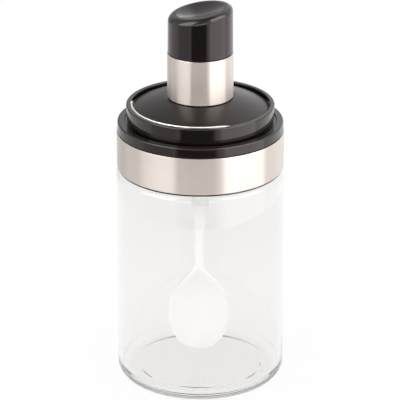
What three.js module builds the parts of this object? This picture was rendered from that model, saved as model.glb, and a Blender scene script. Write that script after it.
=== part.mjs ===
// Spice jar: a glass jar, a screw collar in a steel band, and a lift-out lid whose handle carries a spoon.
// Millimetres, +Z up. The origin is the centre of the ring that the jar rests on.
import * as THREE from "three";

// Fits
const seatGap = 0.3; // between two pieces that touch
const slideGap = 0.3; // round a piece that slides in its seat
const screwGap = 1.3; // from the glass neck to the collar's skirt, the room for the threads

// Roundness
const wideSides = 48;
const handleSides = 40;
const spoonSides = 20;
const filletStep = THREE.MathUtils.degToRad(30);

// Glass jar
const jarRadius = 35;
const jarWall = 2.8;
const shoulderHeight = 92.4;
const shoulderWidth = 4.1;
const shoulderFillet = 1.6;
const neckHeight = 17.6;
const neckWall = 2.6;
const mouthFillet = 0.9;
const heelFillet = 5;
const restWidth = 3.6;
const puntRise = 1.1;
const puntFillet = 0.8;
const floorThickness = 3.6;
const innerHeelFillet = 4;

// Gasket on the glass mouth
const gasketThickness = 0.8;

// Collar and its steel band
const collarWall = 1.6;
const collarLift = 0.8; // from the glass shoulder to the band
const bandSheet = 0.4;
const bandHem = 1.2;
const flangeHeight = 4;
const flangeInset = 0.1;
const flangeDraft = 0.25;
const flangeFillet = 0.6;
const ledgeThickness = 1.8;
const ledgeWidth = 3.1;
const lidRecess = 0.6;
const seatTubePlay = 0.4;
const seatTubeWall = 1.5;
const seatTubeLength = 12.4;
const seatTubeLead = 0.5;

// Lid cup
const recessPlay = 0.7;
const ringHeight = 7.3;
const ringWall = 1.9;
const ringDraft = 0.4;
const ringFillet = 0.6;
const cupFloor = 1.8;
const plugPlay = 1.3;
const plugWall = 2;
const plugLength = 12.9;
const plugLead = 0.5;
const sealGrooveRise = 2.6;
const sealGrooveHeight = 2.8;
const sealGrooveDepth = 0.8;

// Lid dome
const domePlay = 0.5;
const domeSink = 1.45;
const domeSheet = 1.6;
const domeEdgeFillet = 0.5;
const domeSphere = 67.8;
const domeSteps = 5;

// Handle
const sleeveRadius = 13.56;
const sleeveWall = 0.6;
const sleeveLength = 18.8;
const sleeveFillet = 0.2;
const sleeveMargin = 0.64;
const spigotWall = 1.5;
const coreFloor = 2;
const coreWall = 1.7;
const bossWall = 2.5;
const bossRoof = 1.7;

// Knob cap
const capInset = 0.16;
const capDraft = 0.15;
const capHeight = 17.6;
const capSlope = Math.tan(THREE.MathUtils.degToRad(9.3));
const capShoulder = 2.4;
const capRim = 1.2;
const dishDepth = 1.8;
const dishSteps = 4;
const capRoof = 2.3;
const capSkirtWall = 1.5;
const capSkirtDepth = 6;

// Spoon
const plugStemRadius = 4.2;
const plugStemLength = 22;
const clampOverlap = 3;
const clampThickness = 2;
const stemWidthTop = 6.9;
const stemWidth = 4.4;
const stemThicknessTop = 4.4;
const stemThickness = 3.4;
const tipClearance = 5.3;
const bowlTipLength = 15.9;
const bowlShoulderLength = 22.5;
const shoulderRoundness = 1.75; // power that keeps the shoulders full before they draw in
const stemWaistLength = 9.6;
const stemFlareLength = 24;
const bowlWidth = 25.7;
const bowlDepth = 7;
const bowlSheet = 1.3;
const bowlRimForward = 2.4;
const bowlSideways = -0.6;
const bowlSteps = 16;
const stemSteps = 6;

// Where the jar, the gasket and the collar meet
const restRadius = jarRadius - heelFillet;
const floorTop = puntRise + floorThickness;
const neckRadius = jarRadius - shoulderWidth;
const neckBore = neckRadius - neckWall;
const mouthHeight = shoulderHeight + neckHeight;
const gasketFoot = mouthHeight + seatGap;
const webUnderside = gasketFoot + gasketThickness + seatGap;
const ledgeHeight = webUnderside + ledgeThickness;
const recessFloor = ledgeHeight - lidRecess;
const skirtBore = neckRadius + screwGap;
const skirtRadius = skirtBore + collarWall;
const bandBore = skirtRadius + seatGap;
const bandRadius = bandBore + bandSheet;
const bandFoot = shoulderHeight + collarLift;
const flangeFoot = ledgeHeight - flangeHeight;
const bandTop = flangeFoot - seatGap;
const flangeRadius = bandRadius - flangeInset;
const recessRadius = flangeRadius - ledgeWidth;
const seatTubeOuter = neckBore - seatTubePlay;
const seatTubeRadius = seatTubeOuter - seatTubeWall;

// Where the lid's pieces meet
const lidUnderside = recessFloor + seatGap;
const cupFloorTop = lidUnderside + cupFloor;
const ringRadius = recessRadius - recessPlay;
const ringBore = ringRadius - ringWall;
const ringTop = lidUnderside + ringHeight;
const plugRadius = seatTubeRadius - plugPlay;
const plugFoot = lidUnderside - plugLength;
const grooveRadius = plugRadius - sealGrooveDepth;
const grooveFoot = plugFoot + sealGrooveRise;
const grooveTop = grooveFoot + sealGrooveHeight;
const domeRadius = ringBore - domePlay;
const domeEdge = ringTop - domeSink;
const domeApex = domeEdge + domeSphere - Math.sqrt(domeSphere ** 2 - domeRadius ** 2);

// Where the handle, the cap and the spoon meet
const stemBore = plugStemRadius + slideGap;
const spigotRadius = stemBore + spigotWall;
const handleHole = spigotRadius + slideGap;
const handleSeatRadius = sleeveRadius + sleeveMargin;
const handleSeat = domeHeight(handleSeatRadius);
const handleFoot = handleSeat + seatGap;
const sleeveTop = handleFoot + sleeveLength;
const sleeveBore = sleeveRadius - sleeveWall;
const coreRadius = sleeveBore - slideGap;
const coreBore = coreRadius - coreWall;
const capFoot = sleeveTop + seatGap;
const capRadius = sleeveRadius - capInset;
const clampRadius = spigotRadius + clampOverlap;
const clampTop = lidUnderside - seatGap;
const clampFoot = clampTop - clampThickness;
const stemTip = clampTop + plugStemLength;
const bowlTip = floorTop + tipClearance;
const bowlMiddle = bowlTip + bowlTipLength;
const bowlTop = bowlMiddle + bowlShoulderLength;
const stemWaist = bowlTop + stemWaistLength;

// Top of the dome at a distance from the axis.
function domeHeight(radius) {
  return domeApex - domeSphere + Math.sqrt(domeSphere ** 2 - radius ** 2);
}

// Points of an outline given as corners [radius, height, fillet]. It is open when it starts on the axis.
function filleted(corners) {
  const closed = corners[0][0] > 0;
  const last = corners.length - 1;
  const points = [];
  corners.forEach(([radius, height, fillet = 0], index) => {
    const corner = new THREE.Vector2(radius, height);
    const atEnd = !closed && (index === 0 || index === last);
    if (!fillet || atEnd) {
      points.push(corner);
      return;
    }
    const before = new THREE.Vector2(...corners[index ? index - 1 : last]).sub(corner).normalize();
    const after = new THREE.Vector2(...corners[index < last ? index + 1 : 0]).sub(corner).normalize();
    const half = Math.acos(THREE.MathUtils.clamp(before.dot(after), -1, 1)) / 2;
    const centre = before.clone().add(after).normalize().multiplyScalar(fillet / Math.sin(half)).add(corner);
    const from = before.multiplyScalar(fillet / Math.tan(half)).add(corner).sub(centre);
    const to = after.multiplyScalar(fillet / Math.tan(half)).add(corner).sub(centre);
    const turn = Math.atan2(from.cross(to), from.dot(to));
    const steps = Math.ceil(Math.abs(turn) / filletStep);
    for (let step = 0; step <= steps; step += 1) {
      const spoke = from.clone().rotateAround(new THREE.Vector2(), (turn * step) / steps);
      points.push(spoke.add(centre));
    }
  });
  if (closed) points.push(points[0].clone());
  return points;
}

// A solid of revolution about +Z. Its outline runs up the outside and down the inside.
function revolve(corners, sides) {
  return new THREE.LatheGeometry(filleted(corners), sides).rotateX(Math.PI / 2);
}

function named(name, geometry, colour, roughness, metalness, more = {}) {
  const material = new THREE.MeshStandardMaterial({ color: colour, roughness, metalness, ...more });
  const mesh = new THREE.Mesh(geometry, material);
  mesh.name = name;
  return mesh;
}

const blackPlastic = ["#1c1a1a", 0.22, 0];
const steel = ["#b9b2aa", 0.32, 1];
const whitePlastic = ["#f3efe8", 0.4, 0];
const silicone = ["#e4e2dc", 0.6, 0];

// Straight glass jar with a rounded heel, a ring to rest on round a shallow punt, and a narrower neck.
function glassJar() {
  const innerRadius = jarRadius - jarWall;
  const puntRadius = restRadius - restWidth;
  const innerShoulder = shoulderHeight - jarWall;
  const neckBoreFoot = innerShoulder + (innerRadius - neckBore);
  const corners = [
    [0, puntRise],
    [puntRadius - puntRise, puntRise, puntFillet],
    [puntRadius, 0],
    [jarRadius, 0, heelFillet],
    [jarRadius, shoulderHeight, shoulderFillet],
    [neckRadius, shoulderHeight, mouthFillet],
    [neckRadius, mouthHeight, mouthFillet],
    [neckBore, mouthHeight, mouthFillet],
    [neckBore, neckBoreFoot, shoulderFillet],
    [innerRadius, innerShoulder, shoulderFillet],
    [innerRadius, floorTop, innerHeelFillet],
    [0, floorTop],
  ];
  const look = { transparent: true, opacity: 0.35 };
  return named("glass_jar", revolve(corners, wideSides), "#eef1ec", 0.05, 0, look);
}

// Flat silicone ring between the glass mouth and the collar.
function jarGasket() {
  const corners = [
    [neckBore, gasketFoot],
    [neckRadius, gasketFoot],
    [neckRadius, gasketFoot + gasketThickness],
    [neckBore, gasketFoot + gasketThickness],
  ];
  return named("jar_gasket", revolve(corners, wideSides), ...silicone);
}

// Steel sheet round the collar, its lower edge turned in under the collar's skirt.
function collarBand() {
  const corners = [
    [bandRadius - bandHem, bandFoot],
    [bandRadius, bandFoot, bandSheet],
    [bandRadius, bandTop],
    [bandBore, bandTop],
    [bandBore, bandFoot + bandSheet],
    [bandRadius - bandHem, bandFoot + bandSheet],
  ];
  return named("collar_band", revolve(corners, wideSides), ...steel);
}

// Screw collar: a skirt in the band, a flange over the band's top edge, a ledge with a recess for the lid,
// and a tube that hangs inside the glass neck and holds the lid's plug.
function collar() {
  const skirtFoot = bandFoot + bandSheet + seatGap;
  const tubeFoot = webUnderside - seatTubeLength;
  const corners = [
    [seatTubeRadius, tubeFoot],
    [seatTubeOuter - seatTubeLead, tubeFoot],
    [seatTubeOuter, tubeFoot + seatTubeLead],
    [seatTubeOuter, webUnderside],
    [skirtBore, webUnderside],
    [skirtBore, skirtFoot],
    [skirtRadius, skirtFoot],
    [skirtRadius, flangeFoot],
    [flangeRadius, flangeFoot, flangeDraft],
    [flangeRadius - flangeDraft, ledgeHeight, flangeFillet],
    [recessRadius, ledgeHeight, flangeDraft],
    [recessRadius, recessFloor],
    [seatTubeRadius, recessFloor, seatTubeLead],
  ];
  return named("collar", revolve(corners, wideSides), ...blackPlastic);
}

// Lid cup: the raised ring, the floor under the dome, and the plug with a groove for its seal.
function lidCup() {
  const plugBore = plugRadius - plugWall;
  const corners = [
    [handleHole, lidUnderside],
    [plugBore, lidUnderside, plugLead],
    [plugBore, plugFoot],
    [plugRadius - plugLead, plugFoot],
    [plugRadius, plugFoot + plugLead],
    [plugRadius, grooveFoot],
    [grooveRadius, grooveFoot],
    [grooveRadius, grooveTop],
    [plugRadius, grooveTop],
    [plugRadius, lidUnderside],
    [ringRadius - ringDraft, lidUnderside],
    [ringRadius, ringTop, ringFillet],
    [ringBore, ringTop, ringFillet],
    [ringBore, cupFloorTop],
    [handleHole, cupFloorTop],
  ];
  return named("lid_cup", revolve(corners, wideSides), ...blackPlastic);
}

// Silicone ring in the plug's groove, with a lip towards the collar's tube.
function lidSeal() {
  const root = grooveRadius + seatGap;
  const lip = seatTubeRadius - slideGap;
  const foot = grooveFoot + seatGap;
  const top = grooveTop - seatGap;
  const corners = [
    [root, foot],
    [plugRadius, foot],
    [lip, (foot + top) / 2],
    [plugRadius, top],
    [root, top],
  ];
  return named("lid_seal", revolve(corners, wideSides), ...silicone);
}

// Domed plate inside the ring, standing on its own skirt, with a flat seat for the handle.
function lidDome() {
  const skirtBore = domeRadius - domeSheet;
  const skirtFoot = cupFloorTop + seatGap;
  const surface = [];
  for (let step = 0; step <= domeSteps; step += 1) {
    const radius = THREE.MathUtils.lerp(domeRadius, handleSeatRadius, step / domeSteps);
    surface.push([radius, domeHeight(radius), step ? 0 : domeEdgeFillet]);
  }
  const corners = [
    [handleHole, handleSeat - domeSheet],
    [handleSeatRadius, handleSeat - domeSheet],
    [skirtBore, domeEdge - domeSheet],
    [skirtBore, skirtFoot],
    [domeRadius, skirtFoot],
    ...surface,
    [handleHole, handleSeat],
  ];
  return named("lid_dome", revolve(corners, wideSides), ...blackPlastic);
}

// Plastic core inside the steel sleeve: a cup with a boss that takes the spoon's stem from below.
function handleCore() {
  const boreRoof = stemTip + seatGap;
  const bossRadius = stemBore + bossWall;
  const corners = [
    [0, boreRoof],
    [stemBore, boreRoof],
    [stemBore, lidUnderside],
    [spigotRadius, lidUnderside],
    [spigotRadius, handleFoot],
    [coreRadius, handleFoot],
    [coreRadius, sleeveTop],
    [coreBore, sleeveTop],
    [coreBore, handleFoot + coreFloor],
    [bossRadius, handleFoot + coreFloor],
    [bossRadius, boreRoof + bossRoof],
    [0, boreRoof + bossRoof],
  ];
  return named("handle_core", revolve(corners, handleSides), ...blackPlastic);
}

// Brushed steel tube round the core.
function handleSleeve() {
  const corners = [
    [sleeveBore, handleFoot],
    [sleeveRadius, handleFoot, sleeveFillet],
    [sleeveRadius, sleeveTop, sleeveFillet],
    [sleeveBore, sleeveTop],
  ];
  return named("handle_sleeve", revolve(corners, handleSides), ...steel);
}

// Hollow cap with a slanted, dished top and a skirt that presses into the core.
function knobCap() {
  const topHeight = capFoot + capHeight;
  const rimRadius = capRadius - capShoulder - capRim;
  const plugWallRadius = coreBore - slideGap;
  const hollowRadius = plugWallRadius - capSkirtWall;
  const roofHeight = topHeight - dishDepth - capRoof;
  const slantFrom = (capFoot + roofHeight) / 2;
  const dish = [];
  for (let step = 1; step <= dishSteps; step += 1) {
    const inwardShare = step / dishSteps;
    const sink = Math.sin((inwardShare * Math.PI) / 2);
    dish.push([rimRadius * (1 - inwardShare), topHeight - dishDepth * sink]);
  }
  const corners = [
    [0, roofHeight],
    [hollowRadius, roofHeight],
    [hollowRadius, capFoot - capSkirtDepth],
    [plugWallRadius, capFoot - capSkirtDepth],
    [plugWallRadius, capFoot],
    [capRadius, capFoot],
    [capRadius - capDraft, topHeight, capShoulder],
    [rimRadius, topHeight, capRim],
    ...dish,
  ];
  const geometry = revolve(corners, handleSides);
  const places = geometry.getAttribute("position");
  for (let index = 0; index < places.count; index += 1) {
    const slanted = places.getZ(index) > slantFrom;
    if (slanted) places.setZ(index, places.getZ(index) + capSlope * places.getX(index));
  }
  return named("knob_cap", geometry, ...blackPlastic);
}

// How much of a section is bowl and not stem: all of it up to the middle, then less up the shoulders.
function bowlShare(height) {
  const upShoulder = Math.max(0, (height - bowlMiddle) / bowlShoulderLength);
  return THREE.MathUtils.smoothstep(1 - upShoulder ** shoulderRoundness, 0, 1);
}

// Half the spoon's width at a height: a round tip, then shoulders that draw in to the stem.
function spoonHalfWidth(height) {
  const stemHalf = stemWidth / 2;
  const bowlHalf = bowlWidth / 2;
  if (height < bowlMiddle) {
    const fromMiddle = (bowlMiddle - height) / (bowlMiddle - bowlTip);
    return bowlHalf * Math.sqrt(Math.max(0, 1 - fromMiddle ** 2));
  }
  const upStem = THREE.MathUtils.smoothstep(height, stemWaist, stemWaist + stemFlareLength);
  return stemHalf + (bowlHalf - stemHalf) * bowlShare(height) + ((stemWidthTop - stemWidth) / 2) * upStem;
}

// One section of the spoon: a flat oval whose middle is pressed back by the depth of the bowl.
function spoonSection(height) {
  const halfWidth = spoonHalfWidth(height);
  const upStem = THREE.MathUtils.smoothstep(height, stemWaist, stemWaist + stemFlareLength);
  const inBowl = bowlShare(height);
  const stemHalf = THREE.MathUtils.lerp(stemThickness, stemThicknessTop, upStem) / 2;
  const toTip = Math.max(0, (bowlMiddle - height) / (bowlMiddle - bowlTip));
  const roundTip = Math.sqrt(Math.max(0, 1 - toTip ** 2));
  return {
    height,
    halfWidth,
    halfThickness: THREE.MathUtils.lerp(stemHalf, bowlSheet / 2, inBowl) * Math.max(roundTip, 1 - toTip),
    pressed: bowlDepth * inBowl * roundTip,
    forward: -bowlRimForward * inBowl,
    sideways: bowlSideways * THREE.MathUtils.smoothstep(clampFoot - height, 0, clampFoot - bowlMiddle),
  };
}

// A round section of the spoon's clamp or plug.
function roundSection(height, radius) {
  return { height, halfWidth: radius, halfThickness: radius, pressed: 0, forward: 0, sideways: 0 };
}

// A closed skin over a row of sections, each a ring of points.
function loft(sections, sides) {
  const places = [];
  const faces = [];
  for (const { height, halfWidth, halfThickness, pressed, forward, sideways } of sections) {
    for (let side = 0; side < sides; side += 1) {
      const angle = (side / sides) * Math.PI * 2;
      const across = Math.cos(angle);
      const depth = forward + pressed * (1 - across ** 2) + halfThickness * Math.sin(angle);
      places.push(sideways + halfWidth * across, depth, height);
    }
  }
  const ends = [sections[0], sections[sections.length - 1]];
  for (const end of ends) places.push(end.sideways, end.forward + end.pressed, end.height);
  const foot = sections.length * sides;
  for (let side = 0; side < sides; side += 1) {
    const next = (side + 1) % sides;
    for (let level = 0; level < sections.length - 1; level += 1) {
      const low = level * sides;
      const high = low + sides;
      faces.push(low + side, low + next, high + next, low + side, high + next, high + side);
    }
    const top = foot - sides;
    faces.push(foot, next, side, foot + 1, top + side, top + next);
  }
  const geometry = new THREE.BufferGeometry();
  geometry.setAttribute("position", new THREE.Float32BufferAttribute(places, 3));
  geometry.setIndex(faces);
  return geometry;
}

// White spoon in one piece: bowl, stem, the round clamp under the lid and the plug in the handle.
function spoon() {
  const sections = [];
  for (let step = 1; step <= bowlSteps; step += 1) {
    const swing = (step / bowlSteps) * Math.PI;
    sections.push(spoonSection(bowlTip + ((bowlTop - bowlTip) * (1 - Math.cos(swing))) / 2));
  }
  for (let step = 1; step <= stemSteps; step += 1) {
    sections.push(spoonSection(THREE.MathUtils.lerp(bowlTop, clampFoot, step / stemSteps)));
  }
  sections.push(
    roundSection(clampFoot, clampRadius),
    roundSection(clampTop, clampRadius),
    roundSection(clampTop, plugStemRadius),
    roundSection(stemTip, plugStemRadius),
  );
  return named("spoon", loft(sections, spoonSides), ...whitePlastic);
}

const spiceJar = new THREE.Group();
spiceJar.name = "spice_jar";
spiceJar.add(glassJar(), jarGasket());
spiceJar.add(collar(), collarBand());
spiceJar.add(lidCup(), lidDome(), lidSeal());
spiceJar.add(handleCore(), handleSleeve(), knobCap(), spoon());

export default spiceJar;
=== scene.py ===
# Looks of the spice jar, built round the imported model. Metres, +Z up, seen along +Y as in the photograph.
import math

import bpy
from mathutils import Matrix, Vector


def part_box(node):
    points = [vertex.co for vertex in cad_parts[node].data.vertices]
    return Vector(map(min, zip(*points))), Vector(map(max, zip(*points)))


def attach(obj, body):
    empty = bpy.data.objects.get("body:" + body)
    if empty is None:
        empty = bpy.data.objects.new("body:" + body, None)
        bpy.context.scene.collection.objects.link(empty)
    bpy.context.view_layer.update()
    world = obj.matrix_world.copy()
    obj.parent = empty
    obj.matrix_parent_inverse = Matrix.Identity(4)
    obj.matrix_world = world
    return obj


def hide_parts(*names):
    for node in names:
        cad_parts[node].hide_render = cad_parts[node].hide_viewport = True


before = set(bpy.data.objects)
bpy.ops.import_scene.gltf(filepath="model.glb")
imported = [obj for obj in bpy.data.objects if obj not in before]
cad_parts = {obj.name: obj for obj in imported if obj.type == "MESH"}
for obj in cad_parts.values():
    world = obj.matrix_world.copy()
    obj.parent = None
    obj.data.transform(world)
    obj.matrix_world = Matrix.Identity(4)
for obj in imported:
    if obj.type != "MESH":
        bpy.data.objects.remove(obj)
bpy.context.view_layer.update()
MM = 0.001

# Camera, solved from the photograph
PHOTO_PIXELS = 400
FOCAL_PIXELS = 2653
SENSOR_WIDTH = 36
CAMERA_PITCH = math.radians(22.46)
CAMERA_DISTANCE = 1.106
LOOK_HEIGHT = 0.0771
SHIFT_PIXELS = 0.35

# Roundness
WIDE_SIDES = 192
HANDLE_SIDES = 144
FILLET_STEP = math.radians(9)
SHARP_ANGLE = math.radians(30)
EDGE = 0.15 * MM
SAME_PLACE = EDGE / 10

# Fits, as in the solids
SEAT_GAP = 0.3 * MM
SLIDE_GAP = 0.3 * MM

# Glass
JAR_WALL = 2 * MM
SHOULDER_HEIGHT = 92.4 * MM
SHOULDER_WALL = 3.2 * MM
SHOULDER_FILLET = 2.8 * MM
NECK_RADIUS = 30.9 * MM
NECK_WALL = 2.6 * MM
MOUTH_FILLET = 0.9 * MM
HEEL_FILLET = 5 * MM
REST_WIDTH = 0.3 * MM
PUNT_RISE = 0.2 * MM
PUNT_SLOPE = 2.4 * MM
PUNT_FILLET = 4 * MM
FLOOR_THICKNESS = 2.8 * MM
FLOOR_DISC_RADIUS = 25.5 * MM
FLOOR_DISC_RISE = 0.15 * MM
FLOOR_DISC_EDGE = 0.25 * MM
INNER_HEEL_FILLET = 3.4 * MM

# Screw thread: one start, right-handed, on the neck and inside the collar
THREAD_PITCH = 4 * MM
THREAD_HEIGHT = 1 * MM
THREAD_WIDTH = 1.8 * MM
THREAD_FLANK = 0.7 * MM
THREAD_TURNS = 1.4
THREAD_FOOT = 98.5 * MM
THREAD_RUN_OUT = 0.08
THREAD_ROW = 0.35 * MM

# Collar and band
SKIRT_BORE = 32.2 * MM
SKIRT_RADIUS = 33.8 * MM
SKIRT_LIP_RADIUS = 34.1 * MM
SKIRT_LIP_FOOT = 92.55 * MM
BAND_SHEET = 0.4 * MM
BAND_HEM = 1.2 * MM
FLANGE_DRAFT = 0.25 * MM
FLANGE_FILLET = 0.6 * MM
LEDGE_WIDTH = 3.1 * MM
LEDGE_FILLET = 0.3 * MM
LEDGE_THICKNESS = 1.8 * MM
LID_RECESS = 0.6 * MM
SEAT_TUBE_RADIUS = 26.4 * MM
SEAT_TUBE_WALL = 1.5 * MM
SEAT_TUBE_LENGTH = 12.4 * MM
LEAD = 0.5 * MM

# Lid
RING_WALL = 1.9 * MM
RING_DRAFT = 0.4 * MM
RING_FILLET = 0.5 * MM
RING_LIP_FILLET = 0.35 * MM
# The bead paints the lip's highlight. It is proud round BEAD_MIDDLE and sinks out of sight beyond BEAD_PROUD
# and BEAD_FADES.
BEAD_WIDTH = 0.7 * MM
BEAD_HEIGHT = 1.2 * MM
BEAD_FILLET = 0.45 * BEAD_WIDTH
BEAD_RISE = 0.25 * MM
BEAD_SINK = 2.6 * MM
BEAD_MIDDLE = math.radians(231)
BEAD_PROUD = math.radians(53)
BEAD_FADES = (math.radians(16), math.radians(40))
PLUG_RADIUS = 25.1 * MM
PLUG_WALL = 2 * MM
GROOVE_RISE = 2.6 * MM
GROOVE_HEIGHT = 2.8 * MM
GROOVE_DEPTH = 0.8 * MM
DOME_SHEET = 1.6 * MM
DOME_FILLET = 0.5 * MM
DOME_SPHERE = 67.8 * MM
DOME_STEPS = 24

# Handle and knob cap
SLEEVE_WALL = 0.6 * MM
SLEEVE_FILLET = 0.25 * MM
SLEEVE_MARGIN = 0.64 * MM
CORE_FLOOR = 2 * MM
CORE_WALL = 1.7 * MM
BOSS_WALL = 2.5 * MM
BOSS_ROOF = 1.7 * MM
SPIGOT_WALL = 1.5 * MM
CAP_DRAFT = 0.15 * MM
CAP_HEIGHT = 17.56 * MM
CAP_SLOPE = math.tan(math.radians(9.3))
CAP_SHOULDER = 2.4 * MM
CAP_RIM = 1.2 * MM
CAP_FOOT_FILLET = 0.3 * MM
DISH_DEPTH = 1.8 * MM
DISH_STEPS = 18
CAP_ROOF = 2.3 * MM
CAP_SKIRT_WALL = 1.5 * MM
CAP_SKIRT_DEPTH = 6 * MM

# Spoon
PLUG_STEM_RADIUS = 4.2 * MM
PLUG_STEM_LENGTH = 22 * MM
CLAMP_OVERLAP = 3 * MM
CLAMP_THICKNESS = 2 * MM
STEM_WIDTH_TOP = 6.9 * MM
STEM_WIDTH = 4.4 * MM
STEM_THICKNESS_TOP = 4.4 * MM
STEM_THICKNESS = 3.4 * MM
TIP_CLEARANCE = 7 * MM
BOWL_TIP_LENGTH = 15.9 * MM
BOWL_SHOULDER_LENGTH = 22.5 * MM
BOWL_SHOULDER_POWER = 1.75
STEM_WAIST_LENGTH = 9.6 * MM
STEM_FLARE_LENGTH = 24 * MM
BOWL_WIDTH = 25.7 * MM
BOWL_DEPTH = 7 * MM
BOWL_SHEET = 1.3 * MM
BOWL_RIM_FORWARD = 2.4 * MM
BOWL_SIDEWAYS = -0.6 * MM
SPOON_ARC_STEPS = 10
SPOON_FLAT_STEPS = 26
BOWL_STEPS = 70
STEM_STEPS = 24

# Materials: how far a noise mostly reaches, and what makes up the tone and the wear of brushed steel
NOISE_SPAN = (0.3, 0.7)
STREAK_SHARE = 0.6
CLOUD_SHARE = 0.3
WORN_SPAN = (0.45, 0.85)

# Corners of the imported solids, lowest and highest
jar_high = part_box("glass_jar")[1]
collar_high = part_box("collar")[1]
cap_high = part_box("knob_cap")[1]
gasket_low, gasket_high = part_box("jar_gasket")
band_low, band_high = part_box("collar_band")
cup_low, cup_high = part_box("lid_cup")
dome_low, dome_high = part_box("lid_dome")
seal_low, seal_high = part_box("lid_seal")
core_low, core_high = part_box("handle_core")
sleeve_low, sleeve_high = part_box("handle_sleeve")

NECK_BORE = NECK_RADIUS - NECK_WALL
FLOOR_TOP = PUNT_RISE + FLOOR_THICKNESS
LID_UNDERSIDE = core_low.z
STEM_BORE = PLUG_STEM_RADIUS + SLIDE_GAP
SPIGOT_RADIUS = STEM_BORE + SPIGOT_WALL
HANDLE_HOLE = SPIGOT_RADIUS + SLIDE_GAP
CLAMP_RADIUS = SPIGOT_RADIUS + CLAMP_OVERLAP
CLAMP_TOP = LID_UNDERSIDE - SEAT_GAP
CLAMP_FOOT = CLAMP_TOP - CLAMP_THICKNESS
STEM_TIP = CLAMP_TOP + PLUG_STEM_LENGTH
BOWL_TIP = FLOOR_TOP + TIP_CLEARANCE
BOWL_MIDDLE = BOWL_TIP + BOWL_TIP_LENGTH
BOWL_TOP = BOWL_MIDDLE + BOWL_SHOULDER_LENGTH
STEM_WAIST = BOWL_TOP + STEM_WAIST_LENGTH


# Forms


# Points of an outline given as corners (radius, height, fillet), each fillet an arc.
def filleted(corners, closed):
    points = []
    last = len(corners) - 1
    for index, (radius, height, fillet) in enumerate(corners):
        corner = Vector((radius, height))
        at_end = not closed and index in (0, last)
        if not fillet or at_end:
            points.append(corner)
            continue
        before = (Vector(corners[index - 1][:2]) - corner).normalized()
        after = (Vector(corners[index + 1 if index < last else 0][:2]) - corner).normalized()
        half = before.angle(after) / 2
        centre = corner + (before + after).normalized() * (fillet / math.sin(half))
        start = corner + before * (fillet / math.tan(half)) - centre
        end = corner + after * (fillet / math.tan(half)) - centre
        turn = math.atan2(start.x * end.y - start.y * end.x, start.dot(end))
        steps = max(2, math.ceil(abs(turn) / FILLET_STEP))
        for step in range(steps + 1):
            cos, sin = math.cos(turn * step / steps), math.sin(turn * step / steps)
            spoke = Vector((start.x * cos - start.y * sin, start.x * sin + start.y * cos))
            points.append(centre + spoke)
    return points


# Adds close rows to the upright stretches of an outline at one radius.
def with_rows(points, radius):
    made = []
    for here, there in zip(points, points[1:] + points[:1]):
        made.append(here)
        on_wall = max(abs(here.x - radius), abs(there.x - radius)) < SAME_PLACE
        rows = int((there - here).length / THREAD_ROW) if on_wall else 0
        made.extend(here.lerp(there, row / rows) for row in range(1, rows))
    return made


# A piece from points and faces: smooth, with hard edges only where the form turns sharply.
def piece(name, points, faces, material):
    mesh = bpy.data.meshes.new(name)
    mesh.from_pydata(points, [], faces)
    mesh.validate()
    mesh.shade_smooth()
    mesh.set_sharp_from_angle(angle=SHARP_ANGLE)
    mesh.materials.append(material)
    made = bpy.data.objects.new(name, mesh)
    bpy.context.scene.collection.objects.link(made)
    shading = made.modifiers.new("even_shading", "WEIGHTED_NORMAL")
    shading.keep_sharp = True
    return made


# A solid of revolution. place(radius, height, angle) may move points off the turned form.
def revolve(name, corners, sides, material, place=None, rows_at=None):
    full = [corner if len(corner) == 3 else (*corner, 0) for corner in corners]
    closed = full[0][0] > 0
    outline = filleted(full, closed)
    if rows_at:
        outline = with_rows(outline, rows_at)
    points = []
    rings = []
    for radius, height in outline:
        if radius < SAME_PLACE:
            rings.append([len(points)] * sides)
            points.append((0, 0, height))
            continue
        rings.append([len(points) + side for side in range(sides)])
        for side in range(sides):
            angle = 2 * math.pi * side / sides
            moved = place(radius, height, angle) if place else (radius, height)
            points.append((moved[0] * math.cos(angle), moved[0] * math.sin(angle), moved[1]))
    faces = []
    following = rings[1:] + rings[:1] if closed else rings[1:]
    for low, high in zip(rings, following):
        for side in range(sides):
            beside = (side + 1) % sides
            face = (low[side], low[beside], high[beside], high[side])
            faces.append(tuple(dict.fromkeys(face)))
    return piece(name, points, faces, material)


# How far a thread's ridge stands off its wall at a height and an angle. The foot is its height at angle 0.
def ridge(height, angle, foot):
    best = 0
    for lap in range(math.ceil(THREAD_TURNS) + 1):
        along = lap + angle / (2 * math.pi)
        if along > THREAD_TURNS:
            continue
        away = abs(height - foot - along * THREAD_PITCH)
        crest = min(max((THREAD_WIDTH / 2 - away) / THREAD_FLANK, 0), 1)
        run_out = min(along, THREAD_TURNS - along) / THREAD_RUN_OUT
        best = max(best, smoothstep(crest) * smoothstep(run_out))
    return best * THREAD_HEIGHT


def smoothstep(share):
    held = min(max(share, 0), 1)
    return held * held * (3 - 2 * held)


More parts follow.
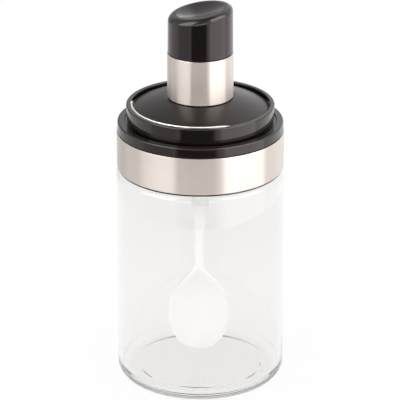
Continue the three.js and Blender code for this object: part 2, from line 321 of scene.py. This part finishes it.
def glass_jar(material):
    inner_radius = jar_high.x - JAR_WALL
    punt_radius = jar_high.x - HEEL_FILLET - REST_WIDTH
    inner_shoulder = SHOULDER_HEIGHT - SHOULDER_WALL

    def threaded(radius, height, angle):
        on_neck = abs(radius - NECK_RADIUS) < SAME_PLACE
        return radius + (ridge(height, angle, THREAD_FOOT) if on_neck else 0), height

    corners = [
        (0, PUNT_RISE),
        (punt_radius - PUNT_SLOPE, PUNT_RISE, PUNT_FILLET),
        (punt_radius, 0, EDGE),
        (jar_high.x, 0, HEEL_FILLET),
        (jar_high.x, SHOULDER_HEIGHT, SHOULDER_FILLET),
        (NECK_RADIUS, SHOULDER_HEIGHT, MOUTH_FILLET),
        (NECK_RADIUS, jar_high.z, MOUTH_FILLET),
        (NECK_BORE, jar_high.z, MOUTH_FILLET),
        (NECK_BORE, inner_shoulder + inner_radius - NECK_BORE, SHOULDER_FILLET),
        (inner_radius, inner_shoulder, SHOULDER_FILLET),
        (inner_radius, FLOOR_TOP, INNER_HEEL_FILLET),
        (FLOOR_DISC_RADIUS + FLOOR_DISC_EDGE, FLOOR_TOP),
        (FLOOR_DISC_RADIUS, FLOOR_TOP + FLOOR_DISC_RISE),
        (0, FLOOR_TOP + FLOOR_DISC_RISE),
    ]
    return revolve("jar_glass", corners, WIDE_SIDES, material, threaded, NECK_RADIUS)


def jar_gasket(material):
    corners = [
        (NECK_BORE, gasket_low.z, EDGE),
        (gasket_high.x, gasket_low.z, EDGE),
        (gasket_high.x, gasket_high.z, EDGE),
        (NECK_BORE, gasket_high.z, EDGE),
    ]
    return revolve("gasket_ring", corners, WIDE_SIDES, material)


def collar_band(material):
    bore = band_high.x - BAND_SHEET
    corners = [
        (band_high.x - BAND_HEM, band_low.z, EDGE),
        (band_high.x, band_low.z, BAND_SHEET),
        (band_high.x, band_high.z, EDGE),
        (bore, band_high.z, EDGE),
        (bore, band_low.z + BAND_SHEET),
        (band_high.x - BAND_HEM, band_low.z + BAND_SHEET, EDGE),
    ]
    return revolve("band_steel", corners, WIDE_SIDES, material)


def collar(material):
    ledge = collar_high.z
    web_underside = ledge - LEDGE_THICKNESS
    recess_radius = collar_high.x - LEDGE_WIDTH
    flange_foot = band_high.z + SEAT_GAP
    tube_outer = SEAT_TUBE_RADIUS + SEAT_TUBE_WALL
    tube_foot = web_underside - SEAT_TUBE_LENGTH

    def threaded(radius, height, angle):
        in_skirt = abs(radius - SKIRT_BORE) < SAME_PLACE
        return radius - (ridge(height, angle, THREAD_FOOT - THREAD_PITCH / 2) if in_skirt else 0), height

    corners = [
        (SEAT_TUBE_RADIUS, tube_foot, EDGE),
        (tube_outer - LEAD, tube_foot, EDGE),
        (tube_outer, tube_foot + LEAD, EDGE),
        (tube_outer, web_underside, EDGE),
        (SKIRT_BORE, web_underside, EDGE),
        (SKIRT_BORE, SKIRT_LIP_FOOT, EDGE),
        (SKIRT_LIP_RADIUS, SKIRT_LIP_FOOT, EDGE),
        (SKIRT_LIP_RADIUS, band_low.z, EDGE),
        (SKIRT_RADIUS, band_low.z),
        (SKIRT_RADIUS, flange_foot),
        (collar_high.x, flange_foot, FLANGE_DRAFT),
        (collar_high.x - FLANGE_DRAFT, ledge, FLANGE_FILLET),
        (recess_radius, ledge, LEDGE_FILLET),
        (recess_radius, ledge - LID_RECESS, EDGE),
        (SEAT_TUBE_RADIUS, ledge - LID_RECESS, LEAD),
    ]
    return revolve("collar_body", corners, WIDE_SIDES, material, threaded, SKIRT_BORE)


def lid_cup(material):
    plug_bore = PLUG_RADIUS - PLUG_WALL
    groove_radius = PLUG_RADIUS - GROOVE_DEPTH
    groove_foot = cup_low.z + GROOVE_RISE
    ring_bore = cup_high.x - RING_WALL
    floor_top = dome_low.z - SEAT_GAP
    corners = [
        (HANDLE_HOLE, LID_UNDERSIDE),
        (plug_bore, LID_UNDERSIDE, LEAD),
        (plug_bore, cup_low.z, EDGE),
        (PLUG_RADIUS - LEAD, cup_low.z, EDGE),
        (PLUG_RADIUS, cup_low.z + LEAD, EDGE),
        (PLUG_RADIUS, groove_foot, EDGE),
        (groove_radius, groove_foot),
        (groove_radius, groove_foot + GROOVE_HEIGHT),
        (PLUG_RADIUS, groove_foot + GROOVE_HEIGHT, EDGE),
        (PLUG_RADIUS, LID_UNDERSIDE, EDGE),
        (cup_high.x - RING_DRAFT, LID_UNDERSIDE, EDGE),
        (cup_high.x, cup_high.z, RING_FILLET),
        (ring_bore, cup_high.z, RING_LIP_FILLET),
        (ring_bore, floor_top),
        (HANDLE_HOLE, floor_top),
    ]
    return revolve("lid_ring", corners, WIDE_SIDES, material)


# Painted highlight: a pale metal bead along the ring's inner lip stands in for the lip's bright line. It is
# proud at the left and front and sunk behind the lip elsewhere.
def lid_highlight_bead(material):
    bore = cup_high.x - RING_WALL - BEAD_WIDTH
    top = cup_high.z + BEAD_RISE

    def sunk(radius, height, angle):
        turn = (angle - BEAD_MIDDLE + math.pi) % (2 * math.pi) - math.pi
        return radius, height - BEAD_SINK * smoothstep((abs(turn) - BEAD_PROUD) / BEAD_FADES[turn > 0])

    corners = [
        (bore, top - BEAD_HEIGHT, EDGE),
        (bore + BEAD_WIDTH, top - BEAD_HEIGHT, EDGE),
        (bore + BEAD_WIDTH, top, BEAD_FILLET),
        (bore, top, BEAD_FILLET),
    ]
    return revolve("lid_highlight_bead", corners, WIDE_SIDES, material, sunk)


def lid_seal(material):
    root = PLUG_RADIUS - GROOVE_DEPTH + SEAT_GAP
    corners = [
        (root, seal_low.z, EDGE),
        (PLUG_RADIUS, seal_low.z, EDGE),
        (seal_high.x, (seal_low.z + seal_high.z) / 2, EDGE),
        (PLUG_RADIUS, seal_high.z, EDGE),
        (root, seal_high.z, EDGE),
    ]
    return revolve("seal_ring", corners, WIDE_SIDES, material)


def lid_dome(material):
    seat_radius = sleeve_high.x + SLEEVE_MARGIN
    seat_height = dome_high.z

    def sphere_height(radius):
        return math.sqrt(DOME_SPHERE**2 - radius**2)

    def surface_height(radius):
        return seat_height + sphere_height(radius) - sphere_height(seat_radius)

    edge_height = surface_height(dome_high.x)
    skirt_bore = dome_high.x - DOME_SHEET
    surface = []
    for step in range(DOME_STEPS + 1):
        radius = dome_high.x + (seat_radius - dome_high.x) * step / DOME_STEPS
        surface.append((radius, surface_height(radius), 0 if step else DOME_FILLET))
    corners = [
        (HANDLE_HOLE, seat_height - DOME_SHEET),
        (seat_radius, seat_height - DOME_SHEET),
        (skirt_bore, edge_height - DOME_SHEET),
        (skirt_bore, dome_low.z),
        (dome_high.x, dome_low.z, EDGE),
        *surface,
        (HANDLE_HOLE, seat_height),
    ]
    return revolve("dome_plate", corners, WIDE_SIDES, material)


def handle_core(material):
    bore_roof = STEM_TIP + SEAT_GAP
    core_bore = core_high.x - CORE_WALL
    boss_radius = STEM_BORE + BOSS_WALL
    corners = [
        (0, bore_roof),
        (STEM_BORE, bore_roof),
        (STEM_BORE, LID_UNDERSIDE, EDGE),
        (SPIGOT_RADIUS, LID_UNDERSIDE, EDGE),
        (SPIGOT_RADIUS, sleeve_low.z),
        (core_high.x, sleeve_low.z, EDGE),
        (core_high.x, core_high.z, EDGE),
        (core_bore, core_high.z, EDGE),
        (core_bore, sleeve_low.z + CORE_FLOOR),
        (boss_radius, sleeve_low.z + CORE_FLOOR),
        (boss_radius, bore_roof + BOSS_ROOF, EDGE),
        (0, bore_roof + BOSS_ROOF),
    ]
    return revolve("core_post", corners, HANDLE_SIDES, material)


def handle_sleeve(material):
    bore = sleeve_high.x - SLEEVE_WALL
    corners = [
        (bore, sleeve_low.z, EDGE),
        (sleeve_high.x, sleeve_low.z, SLEEVE_FILLET),
        (sleeve_high.x, sleeve_high.z, SLEEVE_FILLET),
        (bore, sleeve_high.z, EDGE),
    ]
    return revolve("sleeve_steel", corners, HANDLE_SIDES, material)


def knob_cap(material):
    foot = sleeve_high.z + SEAT_GAP
    top = foot + CAP_HEIGHT
    rim_radius = cap_high.x - CAP_SHOULDER - CAP_RIM
    plug_radius = core_high.x - CORE_WALL - SLIDE_GAP
    hollow_radius = plug_radius - CAP_SKIRT_WALL
    roof = top - DISH_DEPTH - CAP_ROOF
    slant_from = (foot + roof) / 2

    def slanted(radius, height, angle):
        rise = CAP_SLOPE * radius * math.cos(angle)
        return radius, height + (rise if height > slant_from else 0)

    dish = []
    for step in range(1, DISH_STEPS + 1):
        inward = step / DISH_STEPS
        dish.append((rim_radius * (1 - inward), top - DISH_DEPTH * math.sin(inward * math.pi / 2)))
    corners = [
        (0, roof),
        (hollow_radius, roof),
        (hollow_radius, foot - CAP_SKIRT_DEPTH, EDGE),
        (plug_radius, foot - CAP_SKIRT_DEPTH, EDGE),
        (plug_radius, foot),
        (cap_high.x, foot, CAP_FOOT_FILLET),
        (cap_high.x - CAP_DRAFT, top, CAP_SHOULDER),
        (rim_radius, top, CAP_RIM),
        *dish,
    ]
    return revolve("cap_black", corners, HANDLE_SIDES, material, slanted)


# The spoon's section at a height: half width, half thickness, how far its middle is pressed in, and its
# place forward and sideways.
def spoon_section(height):
    to_tip = max(0, (BOWL_MIDDLE - height) / BOWL_TIP_LENGTH)
    round_tip = math.sqrt(max(0, 1 - to_tip**2))
    up_shoulder = max(0, (height - BOWL_MIDDLE) / BOWL_SHOULDER_LENGTH)
    in_bowl = smoothstep(1 - up_shoulder**BOWL_SHOULDER_POWER)
    up_stem = smoothstep((height - STEM_WAIST) / STEM_FLARE_LENGTH)
    stem_half_width = (STEM_WIDTH + (STEM_WIDTH_TOP - STEM_WIDTH) * up_stem) / 2
    stem_half_thickness = (STEM_THICKNESS + (STEM_THICKNESS_TOP - STEM_THICKNESS) * up_stem) / 2
    half_width = (stem_half_width + (BOWL_WIDTH / 2 - stem_half_width) * in_bowl) * round_tip
    half_thickness = stem_half_thickness + (BOWL_SHEET / 2 - stem_half_thickness) * in_bowl
    half_thickness = min(half_thickness, half_width)
    pressed = BOWL_DEPTH * in_bowl * round_tip
    forward = -BOWL_RIM_FORWARD * in_bowl
    sideways = BOWL_SIDEWAYS * smoothstep((CLAMP_FOOT - height) / (CLAMP_FOOT - BOWL_MIDDLE))
    return height, half_width, half_thickness, pressed, forward, sideways


# White spoon: a pressed bowl with a round rim, its stem, the clamp disc and the plug that the handle takes.
def spoon(material):
    sections = []
    for step in range(1, BOWL_STEPS + 1):
        swing = (1 - math.cos(math.pi * step / BOWL_STEPS)) / 2
        sections.append(spoon_section(BOWL_TIP + (BOWL_TOP - BOWL_TIP) * swing))
    for step in range(1, STEM_STEPS + 1):
        sections.append(spoon_section(BOWL_TOP + (CLAMP_FOOT - BOWL_TOP) * step / STEM_STEPS))
    for height, radius in (
        (CLAMP_FOOT, CLAMP_RADIUS - EDGE),
        (CLAMP_FOOT + EDGE, CLAMP_RADIUS),
        (CLAMP_TOP - EDGE, CLAMP_RADIUS),
        (CLAMP_TOP, CLAMP_RADIUS - EDGE),
        (CLAMP_TOP, PLUG_STEM_RADIUS),
        (STEM_TIP - LEAD, PLUG_STEM_RADIUS),
        (STEM_TIP, PLUG_STEM_RADIUS - LEAD),
    ):
        sections.append((height, radius, radius, 0, 0, 0))
    points = []
    for height, half_width, half_thickness, pressed, forward, sideways in sections:
        ring = []
        flat = half_width - half_thickness
        for end in (1, -1):
            for step in range(SPOON_ARC_STEPS + 1):
                angle = math.pi * (step / SPOON_ARC_STEPS - end / 2)
                across, depth = half_thickness * math.cos(angle), half_thickness * math.sin(angle)
                ring.append((end * flat + across, depth))
            for step in range(1, SPOON_FLAT_STEPS):
                along = end * flat * (1 - 2 * step / SPOON_FLAT_STEPS)
                ring.append((along, end * half_thickness))
        for across, depth in ring:
            press = pressed * (1 - (across / half_width) ** 2)
            points.append((sideways + across, forward + press + depth, height))
    sides = len(points) // len(sections)
    faces = []
    for level in range(len(sections) - 1):
        low, high = level * sides, (level + 1) * sides
        for side in range(sides):
            beside = (side + 1) % sides
            faces.append((low + side, low + beside, high + beside, high + side))
    faces.append(tuple(reversed(range(sides))))
    faces.append(tuple(range(len(points) - sides, len(points))))
    return piece("spoon_white", points, faces, material)


# Materials


# Short calls for a material's or a world's node tree.
class Nodes:
    def __init__(self, owner):
        owner.use_nodes = True
        self.tree = owner.node_tree
        self.tree.nodes.clear()

    def add(self, kind, inputs=None, **settings):
        node = self.tree.nodes.new("ShaderNode" + kind)
        for name, value in settings.items():
            setattr(node, name, value)
        for name, value in (inputs or {}).items():
            socket = node.inputs[name]
            if isinstance(value, bpy.types.NodeSocket):
                self.tree.links.new(value, socket)
            else:
                socket.default_value = value
        return node

    def maths(self, operation, *values):
        return self.add("Math", dict(enumerate(values)), operation=operation).outputs[0]

    # Object coordinates stretched by a scale for each axis.
    def place(self, scale=(1, 1, 1)):
        coordinates = self.add("TexCoord").outputs["Object"]
        return self.add("Mapping", {"Vector": coordinates, "Scale": scale}).outputs["Vector"]

    def noise(self, vector, scale, detail=2, roughness=0.5):
        inputs = {"Vector": vector, "Scale": scale, "Detail": detail, "Roughness": roughness}
        return self.add("TexNoise", inputs).outputs["Fac"]

    def spread(self, value, low, high, to_low=0, to_high=1, soft=False):
        inputs = {"Value": value, "From Min": low, "From Max": high, "To Min": to_low, "To Max": to_high}
        kind = "SMOOTHSTEP" if soft else "LINEAR"
        return self.add("MapRange", inputs, interpolation_type=kind).outputs["Result"]

    # Turns a noise, which keeps mostly to its middle values, into the range from low to high.
    def vary(self, noise, low, high):
        return self.spread(noise, *NOISE_SPAN, low, high)

    # Inputs 0, 6 and 7 of a Mix node are its factor and its two colours, and 2 and 3 its two numbers.
    def tint(self, value, dark, light):
        return self.add("Mix", {0: value, 6: (*dark, 1), 7: (*light, 1)}, data_type="RGBA").outputs[2]

    def blend(self, share, first, second):
        return self.add("Mix", {0: share, 2: first, 3: second}).outputs[0]

    def bump(self, height, strength, distance, on_top_of=None):
        inputs = {"Strength": strength, "Distance": distance, "Height": height}
        if on_top_of:
            inputs["Normal"] = on_top_of
        return self.add("Bump", inputs).outputs["Normal"]

    def principled(self, inputs):
        shader = self.add("BsdfPrincipled", inputs)
        self.add("OutputMaterial", {"Surface": shader.outputs[0]})


def black_plastic():
    material = bpy.data.materials.new("black_plastic")
    nodes = Nodes(material)
    place = nodes.place()
    mould = nodes.noise(place, scale=90, detail=3)
    grain = nodes.bump(nodes.noise(place, scale=5200), strength=0.12, distance=0.02 * MM)
    inputs = {
        "Base Color": nodes.tint(mould, (0.007, 0.0052, 0.005), (0.0095, 0.0072, 0.0066)),
        "Roughness": nodes.vary(mould, 0.09, 0.13),
        "IOR": 1.56,
        "Specular Tint": (1, 0.87, 0.86, 1),
        "Normal": nodes.bump(mould, strength=0.1, distance=0.25 * MM, on_top_of=grain),
    }
    nodes.principled(inputs)
    return material


# The dome's finish: the same plastic, finely textured.
def satin_black_plastic():
    material = bpy.data.materials.new("satin_black_plastic")
    nodes = Nodes(material)
    place = nodes.place()
    mould = nodes.noise(place, scale=70, detail=3)
    grain = nodes.noise(place, scale=3600)
    inputs = {
        "Base Color": nodes.tint(mould, (0.007, 0.0052, 0.005), (0.0105, 0.0078, 0.0072)),
        "Roughness": nodes.vary(mould, 0.28, 0.35),
        "Specular Tint": (1, 0.88, 0.87, 1),
        "Normal": nodes.bump(grain, strength=0.3, distance=0.03 * MM),
    }
    nodes.principled(inputs)
    return material


def brushed_steel():
    material = bpy.data.materials.new("brushed_steel")
    nodes = Nodes(material)
    streak = nodes.noise(nodes.place((18, 18, 9000)), scale=1, detail=3, roughness=0.6)
    band = nodes.noise(nodes.place((9, 9, 1300)), scale=1)
    cloud = nodes.noise(nodes.place(), scale=60)
    tone = nodes.blend(STREAK_SHARE, band, streak)
    worn = nodes.maths("MULTIPLY_ADD", cloud, CLOUD_SHARE, tone)
    tangent = nodes.add("Tangent", direction_type="RADIAL", axis="Z")
    inputs = {
        "Base Color": nodes.tint(nodes.vary(tone, 0, 1), (0.63, 0.562, 0.515), (0.678, 0.61, 0.562)),
        "Metallic": 1,
        "Roughness": nodes.spread(worn, *WORN_SPAN, 0.29, 0.33),
        "Anisotropic": 1,
        "Anisotropic Rotation": 0.25,
        "Tangent": tangent.outputs[0],
        "Normal": nodes.bump(streak, strength=0.16, distance=0.02 * MM),
    }
    nodes.principled(inputs)
    return material


# The bead on the lid, a painted highlight: paler steel without the streaks.
def highlight_steel():
    material = bpy.data.materials.new("highlight_steel")
    nodes = Nodes(material)
    cloud = nodes.noise(nodes.place(), scale=400)
    inputs = {
        "Base Color": nodes.tint(cloud, (0.95, 0.93, 0.91), (0.98, 0.96, 0.94)),
        "Metallic": 1,
        "Roughness": nodes.vary(cloud, 0.4, 0.5),
        "Normal": nodes.bump(cloud, strength=0.1, distance=0.01 * MM),
    }
    nodes.principled(inputs)
    return material


def clear_glass():
    material = bpy.data.materials.new("clear_glass")
    nodes = Nodes(material)
    wave = nodes.noise(nodes.place((1, 1, 0.5)), scale=38, detail=1)
    inputs = {
        "Base Color": (0.986, 0.98, 0.971, 1),
        "Roughness": 0,
        "IOR": 1.5,
        "Transmission Weight": 1,
        "Normal": nodes.bump(wave, strength=0.12, distance=0.6 * MM),
    }
    nodes.principled(inputs)
    return material


def white_plastic():
    material = bpy.data.materials.new("white_plastic")
    nodes = Nodes(material)
    place = nodes.place()
    cloud = nodes.noise(place, scale=45)
    grain = nodes.noise(place, scale=3500)
    inputs = {
        "Base Color": nodes.tint(cloud, (0.945, 0.942, 0.935), (0.97, 0.967, 0.96)),
        "Roughness": nodes.vary(cloud, 0.28, 0.36),
        "Subsurface Weight": 0.15,
        "Subsurface Radius": (1, 0.8, 0.6),
        "Subsurface Scale": 1.2 * MM,
        "Normal": nodes.bump(grain, strength=0.1, distance=0.03 * MM),
    }
    nodes.principled(inputs)
    return material


def silicone():
    material = bpy.data.materials.new("silicone")
    nodes = Nodes(material)
    cloud = nodes.noise(nodes.place(), scale=300, detail=3)
    inputs = {
        "Base Color": nodes.tint(cloud, (0.62, 0.61, 0.585), (0.72, 0.71, 0.685)),
        "Roughness": nodes.vary(cloud, 0.45, 0.55),
        "Subsurface Weight": 0.4,
        "Subsurface Radius": (1, 0.9, 0.8),
        "Subsurface Scale": 1 * MM,
        "Normal": nodes.bump(cloud, strength=0.1, distance=0.05 * MM),
    }
    nodes.principled(inputs)
    return material


# Studio

# Light bounces often enough to leave the thick glass of the base.
LIGHT_BOUNCES = 32

# The floor is a disc of paper, seen mostly by its own glow. The glow takes over in full towards its edge.
FLOOR_RADIUS = 0.22
FLOOR_FADE = (0.08, 0.16)
FLOOR_RINGS = 20
FLOOR_GLOW = 1.06
FLOOR_GLOW_SHARE = 0.85
FLOOR_PAPER = (0.8, 0.8, 0.8, 1)
WHITE = (1, 1, 1, 1)

# Patches of light or shade that shiny surfaces mirror: azimuths, elevations, their soft edges (degrees), and
# the light that they add. Azimuths count from the camera's side in the first list and from behind the object
# in the second.
WALL_LIGHT = 1
PATCHES_BEFORE = (
    ((31, 97), (14, 66), (4, 7), 3.3),
    ((33, 97), (-70, 14), (4, 5), 1),
    ((97, 150), (-70, 60), (10, 8), 0.3),
    ((-86, -36), (8, 62), (4, 7), 3.1),
    ((-84, -38), (-45, -8), (4, 6), -0.33),
    ((-150, -90), (-45, 60), (8, 8), -0.08),
    ((-33, 23), (-38, -8), (4, 4), -0.95),
    ((-30, 18), (22, 64), (6, 8), -0.4),
    ((-28, 22), (-6, 18), (6, 6), 1.15),
    ((-400, 400), (70, 120), (6, 12), -0.85),
)
PATCHES_BEHIND = (
    ((-60, -2), (-10, 60), (3, 8), -0.4),
    ((-1.5, 40), (-12, 16), (1.5, 3), 0.2),
)
LEAST_LIGHT = 0.04

# What matt surfaces are lit by: an even sky, and one wide soft patch on the camera's side. Both count for
# more behind glass, so that white looks as white there as outside.
SKY_LIGHT = 0.7
WIDE_LIGHT = ((-100, 100), (-15, 38), (25, 12), 0.7)
GLASS_SHARE = 0.85

# How bright the studio looks through glass
THROUGH_GLASS = 0.895

# Ray depths are whole numbers, so this tells none from some.
SOME_DEPTH = 0.5


# The light of one soft-edged patch in a direction.
def patch_light(nodes, azimuth, elevation, patch):
    azimuths, elevations, softs, strength = patch
    share = strength
    for value, (low, high), soft in zip((azimuth, elevation), (azimuths, elevations), softs):
        rise = nodes.spread(value, low - soft, low + soft, soft=True)
        fall = nodes.spread(value, high + soft, high - soft, soft=True)
        share = nodes.maths("MULTIPLY", share, nodes.maths("MULTIPLY", rise, fall))
    return share


def studio_world():
    world = bpy.data.worlds.new("studio")
    world.cycles.sampling_method = "NONE"
    bpy.context.scene.world = world
    nodes = Nodes(world)
    split = nodes.add("SeparateXYZ", {"Vector": nodes.add("TexCoord").outputs["Generated"]}).outputs
    elevation = nodes.maths("MULTIPLY", nodes.maths("ARCSINE", split["Z"]), math.degrees(1))
    light = WALL_LIGHT
    for toward, patches in ((-1, PATCHES_BEFORE), (1, PATCHES_BEHIND)):
        turn = nodes.maths("ARCTAN2", split["X"], nodes.maths("MULTIPLY", split["Y"], toward))
        azimuth = nodes.maths("MULTIPLY", turn, math.degrees(1))
        if toward < 0:
            sky = nodes.maths("ADD", SKY_LIGHT, patch_light(nodes, azimuth, elevation, WIDE_LIGHT))
        for patch in patches:
            light = nodes.maths("ADD", light, patch_light(nodes, azimuth, elevation, patch))
    mirrored = nodes.maths("MAXIMUM", light, LEAST_LIGHT)
    path = nodes.add("LightPath").outputs
    unscattered = nodes.maths("LESS_THAN", path["Diffuse Depth"], SOME_DEPTH)
    through = nodes.maths("MULTIPLY", path["Is Transmission Ray"], unscattered)
    enclosed = nodes.maths("GREATER_THAN", path["Transmission Depth"], SOME_DEPTH)
    on_matt = nodes.maths("MULTIPLY", sky, nodes.maths("MULTIPLY_ADD", enclosed, GLASS_SHARE, 1))
    strength = nodes.blend(unscattered, on_matt, mirrored)
    strength = nodes.blend(through, strength, THROUGH_GLASS)
    strength = nodes.blend(path["Is Camera Ray"], strength, 1)
    background = nodes.add("Background", {"Color": WHITE, "Strength": strength})
    nodes.add("OutputWorld", {"Surface": background.outputs[0]})


def studio_floor():
    points = [(0, 0, 0)]
    faces = []
    for ring in range(1, FLOOR_RINGS + 1):
        radius = FLOOR_RADIUS * ring / FLOOR_RINGS
        for side in range(WIDE_SIDES):
            angle = 2 * math.pi * side / WIDE_SIDES
            points.append((radius * math.cos(angle), radius * math.sin(angle), 0))
    for side in range(WIDE_SIDES):
        beside = (side + 1) % WIDE_SIDES
        faces.append((0, 1 + side, 1 + beside))
        for ring in range(FLOOR_RINGS - 1):
            low = 1 + ring * WIDE_SIDES
            high = low + WIDE_SIDES
            faces.append((low + side, high + side, high + beside, low + beside))
    material = bpy.data.materials.new("studio_floor")
    nodes = Nodes(material)
    place = nodes.add("TexCoord").outputs["Object"]
    distance = nodes.add("VectorMath", {0: place}, operation="LENGTH").outputs["Value"]
    glow_share = nodes.spread(distance, *FLOOR_FADE, FLOOR_GLOW_SHARE, 1, soft=True)
    path = nodes.add("LightPath").outputs
    seen = nodes.maths("MAXIMUM", path["Is Camera Ray"], path["Is Transmission Ray"])
    seen = nodes.maths("MAXIMUM", seen, path["Is Glossy Ray"])
    paper = nodes.add("BsdfDiffuse", {"Color": FLOOR_PAPER})
    level = nodes.blend(path["Is Transmission Ray"], FLOOR_GLOW, THROUGH_GLASS)
    glow = nodes.add("Emission", {"Color": WHITE, "Strength": level})
    share = nodes.maths("MULTIPLY", seen, glow_share)
    mixed = nodes.add("MixShader", {0: share, 1: paper.outputs[0], 2: glow.outputs[0]})
    nodes.add("OutputMaterial", {"Surface": mixed.outputs[0]})
    floor = piece("studio_floor", points, faces, material)
    floor.location.z = -EDGE


def studio_camera():
    data = bpy.data.cameras.new("camera")
    data.sensor_width = SENSOR_WIDTH
    data.lens = SENSOR_WIDTH * FOCAL_PIXELS / PHOTO_PIXELS
    data.shift_x = -SHIFT_PIXELS / PHOTO_PIXELS
    camera = bpy.data.objects.new("camera", data)
    back, up = math.cos(CAMERA_PITCH), math.sin(CAMERA_PITCH)
    camera.location = (0, -CAMERA_DISTANCE * back, LOOK_HEIGHT + CAMERA_DISTANCE * up)
    camera.rotation_euler = (math.pi / 2 - CAMERA_PITCH, 0, 0)
    bpy.context.scene.collection.objects.link(camera)
    bpy.context.scene.camera = camera


scene = bpy.context.scene
scene.view_settings.view_transform = "Standard"
scene.cycles.max_bounces = LIGHT_BOUNCES
scene.cycles.glossy_bounces = LIGHT_BOUNCES
scene.cycles.transmission_bounces = LIGHT_BOUNCES
studio_camera()
studio_world()
studio_floor()

glass = clear_glass()
black = black_plastic()
satin = satin_black_plastic()
steel = brushed_steel()
white = white_plastic()
rubber = silicone()
highlight_metal = highlight_steel()

for make, material, node, body, slot in (
    (glass_jar, glass, "glass_jar", "jar", "clear_glass"),
    (jar_gasket, rubber, "jar_gasket", "gasket", "silicone"),
    (collar_band, steel, "collar_band", "collar", "brushed_steel"),
    (collar, black, "collar", "collar", "black_plastic"),
    (lid_cup, black, "lid_cup", "lid", "black_plastic"),
    (lid_seal, rubber, "lid_seal", "lid", "silicone"),
    (lid_dome, satin, "lid_dome", "lid", "black_plastic"),
    (handle_core, black, "handle_core", "lid", "black_plastic"),
    (handle_sleeve, steel, "handle_sleeve", "lid", "brushed_steel"),
    (knob_cap, black, "knob_cap", "lid", "black_plastic"),
    (spoon, white, "spoon", "lid", "white_plastic"),
):
    made = make(material)
    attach(made, body)
    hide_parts(node)

# The painted highlight along the lid's lip
bead = lid_highlight_bead(highlight_metal)
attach(bead, "lid")
